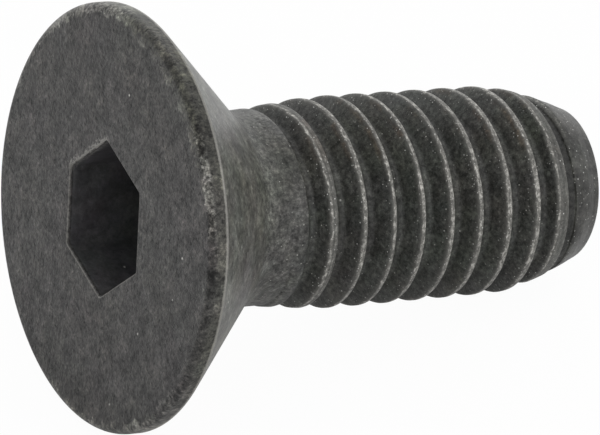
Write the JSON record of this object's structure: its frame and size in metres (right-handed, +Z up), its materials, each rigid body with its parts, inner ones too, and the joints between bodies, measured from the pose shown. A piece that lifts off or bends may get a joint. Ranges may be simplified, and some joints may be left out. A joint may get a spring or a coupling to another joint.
{
  "type": "countersunk socket screw",
  "caption": "Short metric machine screw with a countersunk head flush with the surface, a hexagon socket and a full rolled thread, in black oxide steel.",
  "frame": {"origin": "on the floor under the middle of the lying screw, the bottom centre of its box", "axes": "+Z up; +X along the length of the screw as it lies, from the head (-X) to the tip (+X); the screw's own axis dips 14.2 degrees below +X, so that the rim of the head and the thread touch the floor"},
  "size_m": [0.0216, 0.0158, 0.0154],
  "materials": {
    "black_oxide_steel": "satin"
  },
  "bodies": {
    "root": {"countersunk_screw": "black_oxide_steel"}
  },
  "joints": []
}
